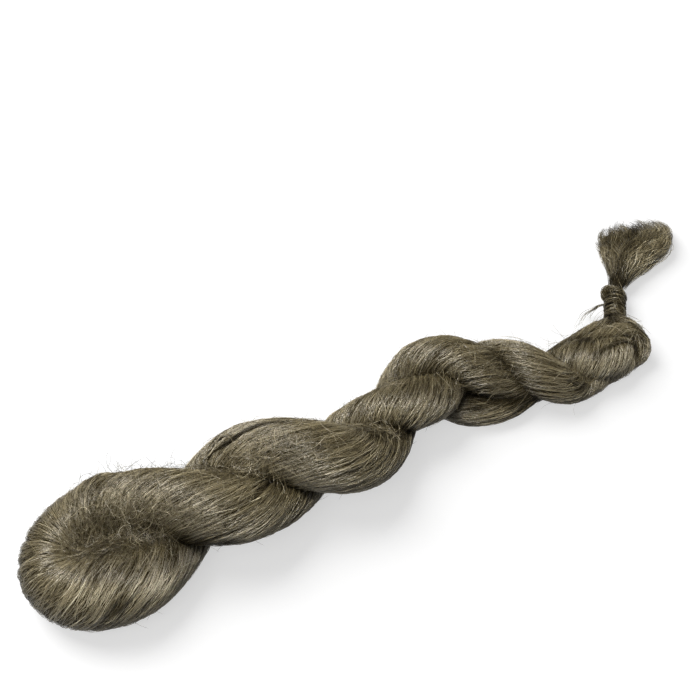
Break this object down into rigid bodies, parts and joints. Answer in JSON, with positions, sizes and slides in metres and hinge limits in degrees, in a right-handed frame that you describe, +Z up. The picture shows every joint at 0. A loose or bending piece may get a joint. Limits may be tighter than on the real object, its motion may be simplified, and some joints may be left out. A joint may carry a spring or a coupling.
{
  "type": "flax strick",
  "caption": "Strick of hackled flax: a long fibre bundle twisted, folded at its middle, plied on itself and bound near its ends by a wrapped tie.",
  "frame": {"origin": "on the resting surface, under the middle of the box round the whole strick", "axes": "+X along the strick from the fold to the tied end, +Y towards the side that the loose brush points to, +Z up"},
  "size_m": [0.3752, 0.1346, 0.046],
  "materials": {
    "flax_fibre": "long combed grey-brown flax fibre with a soft silky sheen, drawn up in twisted locks with loose stray fibres",
    "flax_tie": "darker twisted flax fibre wound tightly round the neck"
  },
  "bodies": {
    "root": {"strick": "flax_fibre", "tie": "flax_tie"}
  },
  "joints": []
}
